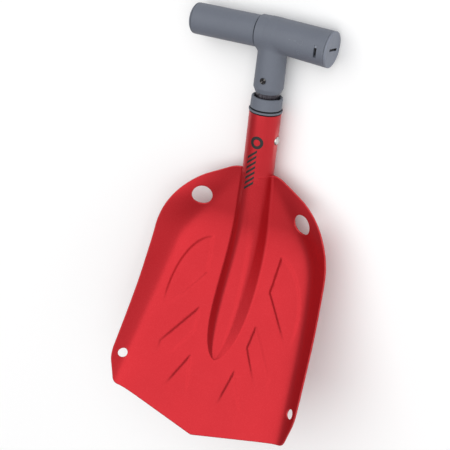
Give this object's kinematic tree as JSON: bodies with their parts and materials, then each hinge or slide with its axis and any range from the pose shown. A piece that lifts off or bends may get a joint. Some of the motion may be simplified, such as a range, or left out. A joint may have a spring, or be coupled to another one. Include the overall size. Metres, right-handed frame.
{
  "type": "avalanche shovel",
  "caption": "Telescopic snow shovel with a dished sheet-metal blade, a central ridge, a sliding inner shaft with snap-button locks and a T handle with a turning end cap.",
  "frame": {"origin": "middle of the underside of the shovel as it lies on its back, scoop up", "axes": "+Y along the shaft from the blade's tip to the handle, +Z out of the scoop and up, +X across the blade towards the coin cap"},
  "size_m": [0.1994, 0.3984, 0.1033],
  "materials": {
    "red_anodised": "satin anodised",
    "dark_anodised": "satin anodised",
    "grey_plastic": "fine moulded texture",
    "light_plastic": "fine moulded texture",
    "black_plastic": "matte",
    "black_rubber": "matte",
    "steel": "polished",
    "black_steel": "black oxide"
  },
  "bodies": {
    "blade_unit": {"blade": "red_anodised", "shaft_outer": "red_anodised", "weld_left": "red_anodised", "weld_right": "red_anodised", "guide_bush": "grey_plastic", "end_gasket": "black_rubber", "seal_ring": "black_rubber", "wiper_collar": "grey_plastic"},
    "handle_unit": {"shaft_inner": "dark_anodised", "shaft_end_plug": "black_plastic", "upper_lock_spring": "steel", "lower_lock_spring": "steel", "handle_body": "grey_plastic", "neck_rivet": "black_steel", "grip_sleeve": "grey_plastic", "grip_end_cap": "grey_plastic"},
    "upper_button": {"upper_lock_button": "steel"},
    "lower_button": {"lower_lock_button": "steel"},
    "cap_unit": {"coin_cap": "light_plastic", "cap_oring": "black_rubber", "indicator_lug": "light_plastic"}
  },
  "joints": [
    {"name": "shaft_extend", "type": "slide", "parent": "blade_unit", "child": "handle_unit", "axis": [0, 1, 0], "range_m": [0, 0.13], "deforming": ["upper_lock_spring", "lower_lock_spring", "upper_lock_button", "lower_lock_button"]},
    {"name": "upper_button_press", "type": "slide", "parent": "handle_unit", "child": "upper_button", "axis": [-1, 0, 0], "range_m": [0, 0.0037], "stiffness_N_per_m": 900, "springref_m": -0.003, "deforming": ["upper_lock_spring"]},
    {"name": "lower_button_release", "type": "slide", "parent": "handle_unit", "child": "lower_button", "axis": [1, 0, 0], "range_m": [0, 0.0049], "deforming": ["lower_lock_spring"]},
    {"name": "coin_cap_turn", "type": "hinge", "parent": "handle_unit", "child": "cap_unit", "pos_m": [0, 0.18347, 0.01654], "axis": [0.9996, -0.0297, 0], "range_deg": [0, 33]}
  ],
  "couplings": [
    {"joint": "lower_button_release", "follows": "shaft_extend", "ratio": 0.037692}
  ]
}
